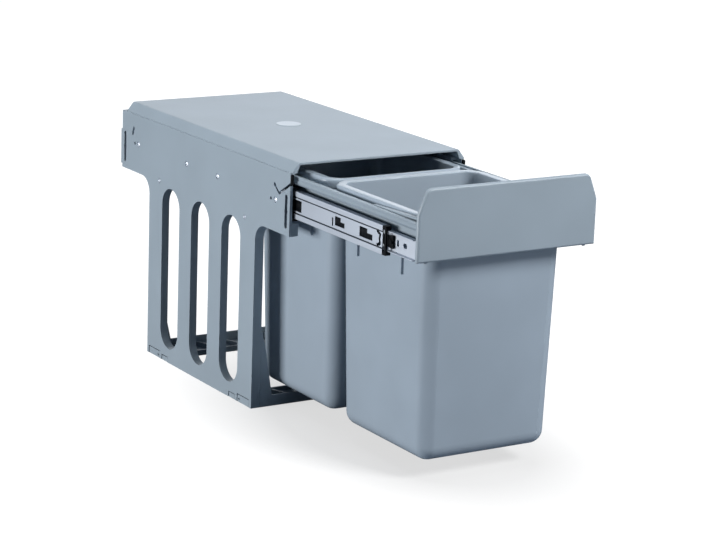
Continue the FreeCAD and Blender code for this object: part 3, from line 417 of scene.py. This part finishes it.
def soften(obj, width_mm):
    """Welds a mesh, merges its flat triangles, and rolls a round of the given width along each sharp edge."""
    weld = obj.modifiers.new("weld", "WELD")
    weld.merge_threshold = WELD_MM * MM
    flat = obj.modifiers.new("flat faces", "DECIMATE")
    flat.decimate_type = "DISSOLVE"
    flat.angle_limit = math.radians(FLAT_DEGREES)
    rounding = obj.modifiers.new("rounding", "BEVEL")
    rounding.width = width_mm * MM
    rounding.segments = ROUND_SEGMENTS
    rounding.limit_method = "ANGLE"
    rounding.angle_limit = math.radians(SHARP_DEGREES)
    rounding.use_clamp_overlap = False
    even_normals(obj)


softened = 0
for name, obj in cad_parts.items():
    for ending, width in EDGE_MM.items():
        if name.endswith(ending):
            soften(obj, width)
            softened += 1
print("solids with rounded edges:", softened)

# %% [markdown]
# ## The tubs
#
# Each tub is one injection-moulded shell: a tapered bucket with a generous foot radius, and a rim that turns
# out and down so that it hooks over the carrier. Every level cut is a rectangle with round corners, so the
# whole shell is a stack of such rings: up the outside, round under the rim, over its rolled top, and down the
# inside. A ring takes five numbers, which keeps the draft, the foot radius and the rim in one table.

# %% A surface from rings
CORNER_STEPS = 14


def ring_points(rings):
    """Points (ring, place, xyz) of level round-cornered rectangles: half x, half y, radius, middle y and z.

    Each corner is a quarter circle about (half - radius), so a point is the corner's middle plus the radius
    times the cosine and sine of its angle. Neighbouring corners join by straight sides.
    """
    half_x, half_y, radius, middle, z = [column[:, None] for column in np.asarray(rings).T]
    quarter = np.repeat(np.arange(4), CORNER_STEPS + 1)
    angle = quarter * np.pi / 2 + np.tile(np.linspace(0, np.pi / 2, CORNER_STEPS + 1), 4)
    side_x = np.where((quarter == 0) | (quarter == 3), 1, -1)
    side_y = np.where(quarter < 2, 1, -1)
    x = side_x * (half_x - radius) + radius * np.cos(angle)
    y = middle + side_y * (half_y - radius) + radius * np.sin(angle)
    return np.stack([x, y, np.broadcast_to(z, x.shape)], axis=-1) * MM


def closed_grid(rows, columns, first=0):
    """Quads between neighbouring rows of a grid whose columns close round, and a face over each end."""
    index = first + np.arange(rows * columns).reshape(rows, columns)
    following = np.roll(index, -1, axis=1)
    quads = np.stack([index[:-1], following[:-1], following[1:], index[1:]], axis=-1)
    return quads.reshape(-1, 4).tolist() + [index[0, ::-1].tolist(), index[-1].tolist()]


def new_piece(name, points, faces, material, body, nodes):
    """A smooth mesh object with one finish that rides on a body, and stands for any solids it replaces."""
    mesh = bpy.data.meshes.new(name)
    mesh.from_pydata(points.reshape(-1, 3).tolist(), [], faces)
    mesh.polygons.foreach_set("use_smooth", [True] * len(mesh.polygons))
    mesh.materials.append(material)
    obj = bpy.data.objects.new(name, mesh)
    bpy.context.scene.collection.objects.link(obj)
    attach(obj, body)
    if nodes:
        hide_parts(*nodes)
    return obj


print("points in one ring:", 4 * (CORNER_STEPS + 1))

# %% [markdown]
# The solids give each tub's height, rim and place. The rear tub has the same shape, a few millimetres smaller
# all round. The size of a wall ring runs straight from foot to rim and an inset draws it in, so that one
# function gives the outside, the foot's round and the inside.

# %% The rings of a tub
tub_low, tub_high = box_mm("front_bin")
TUB_BOTTOM, RIM_TOP = tub_low[2], tub_high[2]
RIM_BOTTOM = 312.0
RIM_HALF = (tub_high - tub_low)[:2] / 2
RIM_CORNER, RIM_ROLL, RIM_INNER_ROLL = 30.0, 3.5, 1.4
RIM_STEP_IN, RIM_STEP_DOWN, RIM_INSIDE_DOWN = 1.0, 1.2, 3.2
TUB_WALL = 1.8
TUB_HALF_LOW, TUB_HALF_HIGH = np.array([90.5, 91.5]), np.array([96.5, 100.0])
TUB_SHIFT_LOW, TUB_SHIFT_HIGH = -6.5, -3.0
TUB_CORNER, TUB_FOOT = 18.0, 17.0
FOOT_TO_WALL, WALL_RINGS = 2.0, 14


def tub_place(name):
    """The middle of a tub along Y, and by how much it is smaller than the front one, from its solid's box."""
    low, high = box_mm(name)
    return (low[1] + high[1]) / 2, RIM_HALF[0] - high[0]


def arc(radius, start, end, steps):
    """Steps along a circle from one angle to another, in degrees, as cosine and sine offsets."""
    angle = np.radians(np.linspace(start, end, steps))
    return radius * np.cos(angle), radius * np.sin(angle)


def wall_rings(z, inset):
    """Rings of the tapered wall: size and middle run straight from foot to rim, drawn in by an inset."""
    z, inset = np.broadcast_arrays(np.asarray(z, float), np.asarray(inset, float))
    share = (z - TUB_BOTTOM) / (RIM_TOP - TUB_BOTTOM)
    half = TUB_HALF_LOW + share[:, None] * (TUB_HALF_HIGH - TUB_HALF_LOW) - inset[:, None]
    middle = TUB_SHIFT_LOW + share * (TUB_SHIFT_HIGH - TUB_SHIFT_LOW)
    return np.column_stack([half, TUB_CORNER - inset, middle, z])


def rim_rings(z, inset):
    """Rings of the rim, which is larger than the wall, drawn in by an inset."""
    z, inset = np.broadcast_arrays(np.asarray(z, float), np.asarray(inset, float))
    half = RIM_HALF - inset[:, None]
    return np.column_stack([half, RIM_CORNER - inset, 0 * z, z])


def tub_rings():
    """All rings of a tub, from the middle of its foot up the outside, over the rim and down the inside."""
    foot_top = TUB_BOTTOM + TUB_FOOT
    rim_under = RIM_TOP - TUB_WALL
    inward, up_foot = arc(TUB_FOOT, 90, 0, 9)
    outside_foot = wall_rings(foot_top - up_foot, TUB_FOOT - inward)
    outside = wall_rings(np.linspace(foot_top + FOOT_TO_WALL, rim_under - RIM_STEP_DOWN, WALL_RINGS), 0.0)
    under = rim_rings([rim_under, rim_under - RIM_STEP_DOWN, RIM_BOTTOM + TUB_WALL],
                      [TUB_WALL + RIM_STEP_IN, TUB_WALL, TUB_WALL])
    lip_in, lip_down = arc(TUB_WALL / 2, 180, 360, 7)
    lip = rim_rings(RIM_BOTTOM + TUB_WALL / 2 + lip_down, TUB_WALL / 2 - lip_in)
    roll_out, roll_up = arc(RIM_ROLL, 0, 90, 8)
    roll = rim_rings(RIM_TOP - RIM_ROLL + roll_up, RIM_ROLL - roll_out)
    over_in, over_up = arc(RIM_INNER_ROLL, 90, 180, 6)
    over = wall_rings(RIM_TOP - RIM_INNER_ROLL + over_up, TUB_WALL - RIM_INNER_ROLL - over_in)
    inside = wall_rings(np.linspace(RIM_TOP - RIM_INSIDE_DOWN, foot_top + FOOT_TO_WALL, WALL_RINGS), TUB_WALL)
    in_foot, down_foot = arc(TUB_FOOT - TUB_WALL, 0, 90, 9)
    inside_foot = wall_rings(foot_top - down_foot, TUB_FOOT - in_foot)
    return np.vstack([outside_foot, outside, under, lip, roll, over, inside, inside_foot])


TUBS = {name: tub_place(name) for name in ("front_bin", "rear_bin")}
rings = tub_rings()
print("rings in a tub:", len(rings), "widest:", rings[:, 0].max(), "mm half width")
for name, (middle, smaller) in TUBS.items():
    points = ring_points(rings + np.array([-smaller, -smaller, 0, middle, 0]))
    faces = closed_grid(*points.shape[:2])
    tub = new_piece(name.replace("bin", "tub"), points, faces, bin_plastic, name, [name])
    even_normals(tub)
    print(tub.name, "faces:", len(faces))

# %% [markdown]
# Short upright ribs stand on the tub's sides, below the rim. They stiffen the wall where the rim hooks over
# the carrier. Each is a thin plate with a cut-off toe: one outline, drawn out by the wall's thickness.

# %% Ribs on the tubs
RIB_PLACES = (-47.5, 50.5)
RIB_FOOT, RIB_TOP, RIB_OUT, RIB_TOE, RIB_ROOT = 243.0, 297.0, 98.1, 1.0, 94.5
RIB_EDGE_MM = 0.3
RIB_OUTLINE = np.array([(RIB_ROOT, RIB_FOOT), (RIB_OUT - RIB_TOE, RIB_FOOT), (RIB_OUT, RIB_FOOT + RIB_TOE),
                        (RIB_OUT, RIB_TOP), (RIB_ROOT, RIB_TOP)])


def on_side(outline, side):
    """An outline of (x, z) points as it is on the right side, mirrored and turned round on the left."""
    return outline if side > 0 else (outline * (-1, 1))[::-1]


def plate(outline, y0, y1):
    """A plate standing across Y: the outline of (x, z) points at two places along Y."""
    near = np.insert(outline, 1, y0, axis=1)
    far = np.insert(outline, 1, y1, axis=1)
    return np.stack([near, far]) * MM


def plate_faces(count, first):
    """The two faces and the edge faces of a plate whose outline runs anticlockwise seen from -Y."""
    ring = np.arange(count)
    following = np.roll(ring, -1)
    sides = np.stack([ring + count, following + count, following, ring], axis=-1) + first
    return [(ring + first).tolist(), (ring[::-1] + count + first).tolist()] + sides.tolist()


for name, (middle, smaller) in TUBS.items():
    points, faces = [], []
    for side in (-1, 1):
        outline = on_side(RIB_OUTLINE - (smaller, 0), side)
        for place in RIB_PLACES:
            faces += plate_faces(len(outline), 2 * len(outline) * len(points))
            points.append(plate(outline, middle + place - TUB_WALL / 2, middle + place + TUB_WALL / 2))
    ribs = new_piece(name.replace("bin", "tub") + "_ribs", np.array(points), faces, bin_plastic, name, ())
    soften(ribs, RIB_EDGE_MM)
    print(ribs.name, "plates:", len(points))

# %% [markdown]
# ## Screw heads and hollow rivets
#
# Each side frame carries its slide on four pan-head screws with a cross recess, and has a hollow rivet above
# each side of the leg. A head is a surface of revolution: a profile of radius and height, turned about the
# screw's axis. The cross is pressed in by lowering the points that lie in either of its two arms, so the same
# grid of radius and angle gives the dome and the recess.

# %% Draw the profiles
SCREW_PLACES = [(y, SLIDE_HEIGHT) for y in (-196.0, -44.6, 41.0, 183.0)]
RIVET_PLACES = ((-119.0, 247.0), (119.0, 247.0))
HEAD_RADIUS, HEAD_CROWN, HEAD_FALL, HEAD_CURVE, HEAD_BACK = 3.5, 0.25, 0.95, 2.4, -1.4
SHANK_RADIUS, SHANK_START, SHANK_END = 2.0, -1.45, -5.1
CROSS_HALF, CROSS_REACH, CROSS_DEPTH = 0.42, 2.1, 0.7
BEAD_MIDDLE, BEAD_RADIUS, BEAD_HEIGHT = 2.0, 0.9, -0.6
HOLLOW_START, HOLLOW_FLOOR = 0.3, -1.3
DOME_START, DOME_STEPS = 0.04, 13

share = np.linspace(DOME_START, 1.0, DOME_STEPS)
dome = np.column_stack([HEAD_RADIUS * share, HEAD_CROWN - HEAD_FALL * share ** HEAD_CURVE])
shank = [(HEAD_RADIUS, HEAD_BACK), (SHANK_RADIUS, SHANK_START), (SHANK_RADIUS, SHANK_END)]
SCREW_PROFILE = np.vstack([dome, shank])
bead_out, bead_up = arc(BEAD_RADIUS, 170, 0, 9)
hollow = [(HOLLOW_START, HOLLOW_FLOOR), (BEAD_MIDDLE - BEAD_RADIUS, HOLLOW_FLOOR)]
bead = np.column_stack([BEAD_MIDDLE + bead_out, BEAD_HEIGHT + bead_up])
RIVET_PROFILE = np.vstack([hollow, bead, [(BEAD_MIDDLE + BEAD_RADIUS, HEAD_BACK)]])
print("profile points:", len(SCREW_PROFILE), "for a screw,", len(RIVET_PROFILE), "for a rivet")

# %% Turn the heads
SIDES = ((-1, "left"), (1, "right"))
SPOKES = 48


def turned(profile, place, side, crossed):
    """Points of a profile of (radius, height) turned about X at (y, z), standing out from a frame's face.

    A point is the place plus the radius times cosine and sine. On a crossed head, the height is lowered where
    a point of the dome lies within either arm of the cross.
    """
    radius, height = profile.T
    angle = -side * np.linspace(0, 2 * np.pi, SPOKES, endpoint=False)
    across = radius[:, None] * np.cos(angle)
    upward = radius[:, None] * np.sin(angle)
    level = np.repeat(height[:, None], SPOKES, axis=1)
    if crossed:
        in_arm = np.minimum(np.abs(across), np.abs(upward)) < CROSS_HALF
        in_reach = np.maximum(np.abs(across), np.abs(upward)) < CROSS_REACH
        on_dome = level > HEAD_CROWN - HEAD_FALL
        level = level - CROSS_DEPTH * (in_arm & in_reach & on_dome)
    return np.stack([side * (FACE + level), place[0] + across, place[1] + upward], axis=-1) * MM


heads = [(SCREW_PROFILE, place, True) for place in SCREW_PLACES]
heads += [(RIVET_PROFILE, place, False) for place in RIVET_PLACES]
for side, side_name in SIDES:
    points, faces, first = [], [], 0
    for profile, place, crossed in heads:
        points.append(turned(profile, place, side, crossed).reshape(-1, 3))
        faces += closed_grid(len(profile), SPOKES, first)
        first += len(points[-1])
    screws = new_piece(side_name + "_frame_screws", np.vstack(points), faces, screw_zinc, "housing",
                       [side_name + "_rail_screws"])
    even_normals(screws)
    print(screws.name, "faces:", len(faces))

# %% [markdown]
# ## Dark sheets behind the slide's windows
#
# The middle rail's windows look black because the inside of the slide lies in shade, and a black sheet behind
# them is painted shade for it. It is thin, with shallow cross ridges: a sheet whose face rises and falls
# along the rail.

# %% Shape the painted-shade sheets
SHADE_SHEET_REACH, SHADE_SHEET_STATIONS = (-422.0, -212.0), 211
SHADE_SHEET_HALF = 9.2
SHADE_SHEET_BACK, SHADE_SHEET_FACE = rail_high[0] - 1.55, rail_high[0] - 1.38
SHADE_SHEET_RIDGE, SHADE_SHEET_PITCH = 0.1, 6.0


def facing_out(points, side):
    """A grid as it is on the left, and with its columns turned round on the right, to face outward."""
    return points if side < 0 else points[:, ::-1]


def shade_sheet_points(side):
    """Four rows round a strip: its flat back, and its face, whose height is a cosine along the rail."""
    along = np.linspace(*SHADE_SHEET_REACH, SHADE_SHEET_STATIONS)
    face = SHADE_SHEET_FACE + SHADE_SHEET_RIDGE * (0.5 + 0.5 * np.cos(2 * np.pi * along / SHADE_SHEET_PITCH))
    back = np.full_like(along, SHADE_SHEET_BACK)
    low = np.full_like(along, SLIDE_HEIGHT - SHADE_SHEET_HALF)
    high = np.full_like(along, SLIDE_HEIGHT + SHADE_SHEET_HALF)
    rows = [(back, low), (face, low), (face, high), (back, high)]
    return np.stack([np.column_stack([side * x, along, z]) for x, z in rows], axis=1) * MM


for side, side_name in SIDES:
    points = facing_out(shade_sheet_points(side), side)
    # Painted shade: a black sheet in the shaded inside of the slide, seen through its windows.
    shade_sheet = new_piece(side_name + "_middle_liner", points, closed_grid(*points.shape[:2]), black_acetal,
                      side_name + "_middle", ())
    print(shade_sheet.name, "stations:", len(points))

# %% [markdown]
# ## Lips and bars on the carrier
#
# Each carrier rail ends above in a thin raised lip. Inside the lip, beside the front tub, lies a thin moulded
# bar: its rear end sinks into the rail and its front end stands clear of it, so that a narrow dark gap shows
# below it. Both are a rounded rectangle carried along the rail, and the bar's foot falls on the way.

# %% Carry the lips and bars along the rails
STRIP_HEIGHT, STRIP_ROUND, STRIP_STATIONS = 3.2, 0.9, 40
STRIP_FRONT = carrier_low[1] + 4.0
# Each strip has its rear end, its two insets from the rail's outer face, and its foot against the rail's top.
STRIPS = {
    "carrier_lip": (-130.0, (4.7, 0.9), (-1.4, -1.4)),
    "carrier_bar": (-400.0, (11.9, 6.1), (2.7, -1.5)),
}


def rounded_rectangle(x, z, radius):
    """Points (x, z) from +x round by +z: each corner's middle plus the radius times cosine and sine."""
    turn = np.radians(np.arange(0, 360, 15.0) + 7.5)
    corner_x = np.where(np.cos(turn) > 0, x[1] - radius, x[0] + radius)
    corner_z = np.where(np.sin(turn) > 0, z[1] - radius, z[0] + radius)
    return np.column_stack([corner_x + radius * np.cos(turn), corner_z + radius * np.sin(turn)])


def strip_points(side, rear, insets, foot):
    """A rounded rectangle carried along Y, whose foot falls steadily from the first height to the second."""
    reach = (STRIP_FRONT, rear)
    along = np.linspace(*reach, STRIP_STATIONS)[:, None]
    section = rounded_rectangle(carrier_high[0] - np.array(insets), (0.0, STRIP_HEIGHT), STRIP_ROUND)
    low = carrier_high[2] + np.interp(along, reach, foot)
    x, y, z = np.broadcast_arrays(side * section[:, 0], along, low + section[:, 1])
    return np.stack([x, y, z], axis=-1) * MM


for side, side_name in SIDES:
    for name, (rear, insets, foot) in STRIPS.items():
        points = facing_out(strip_points(side, rear, insets, foot), side)
        strip = new_piece(side_name + "_" + name, points, closed_grid(*points.shape[:2]), frame_plastic,
                          "drawer", ())
        print(strip.name, "stations:", len(points))

# %% [markdown]
# ## Dark end plates
#
# A black plate on the front end of each side frame's band is painted shade: it stands in for the shade that
# falls on that end. It is a small rounded plate on the end of the frame, made as a rounded outline drawn out
# along Y, with its edges softened like those of the solids.

# %% Cut the painted-shade end plates
SHADE_PLATE_X = (FACE - 3.4, FACE)
SHADE_PLATE_Z = (frame_high[2] - 14.0, frame_high[2] - 1.5)
SHADE_PLATE_ROUND, SHADE_PLATE_EDGE_MM = 1.2, 0.3
SHADE_PLATE_REAR = frame_low[1]
SHADE_PLATE_FRONT = SHADE_PLATE_REAR - 3.6
for side, side_name in SIDES:
    # Painted shade: each plate is black where the frame's front end lies in shade.
    outline = on_side(rounded_rectangle(SHADE_PLATE_X, SHADE_PLATE_Z, SHADE_PLATE_ROUND), side)
    shade_plate = new_piece(side_name + "_end_shade_plate", plate(outline, SHADE_PLATE_FRONT, SHADE_PLATE_REAR),
                     plate_faces(len(outline), 0), black_acetal, "housing", ())
    soften(shade_plate, SHADE_PLATE_EDGE_MM)
    print(shade_plate.name, "corners:", len(outline))
